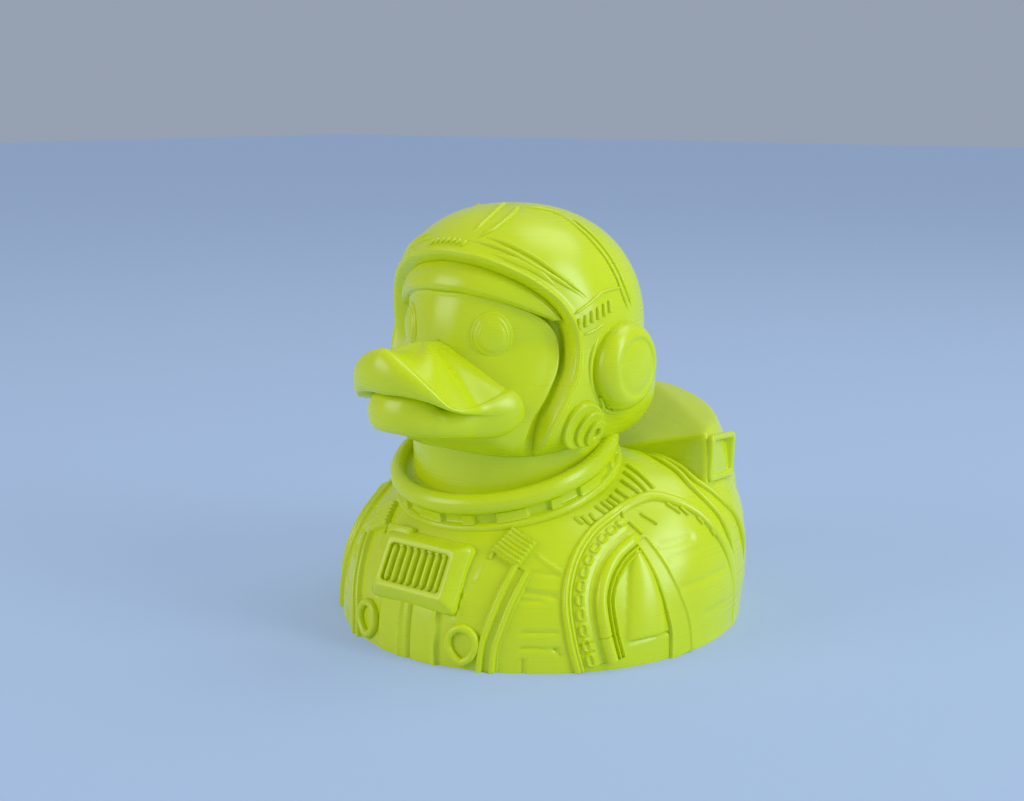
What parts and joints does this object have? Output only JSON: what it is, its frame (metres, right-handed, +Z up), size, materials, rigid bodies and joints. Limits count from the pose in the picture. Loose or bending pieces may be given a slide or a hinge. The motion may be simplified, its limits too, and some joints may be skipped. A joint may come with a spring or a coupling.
{
  "type": "rubber duck",
  "caption": "Desk duck printed in one piece: bath-duck body with flat base, flying suit, ring collar, open-face helmet with raised visor and ear cups, broad bill and back pack.",
  "frame": {"origin": "middle of the flat base, on the surface the duck stands on", "axes": "+Z up, square to the base; the duck looks along -Y and its left side is at +X"},
  "size_m": [0.0866, 0.0951, 0.0861],
  "materials": {
    "yellow_plastic": "glossy printed plastic with fine level layer lines"
  },
  "bodies": {
    "root": {"duck": "yellow_plastic"}
  },
  "joints": []
}
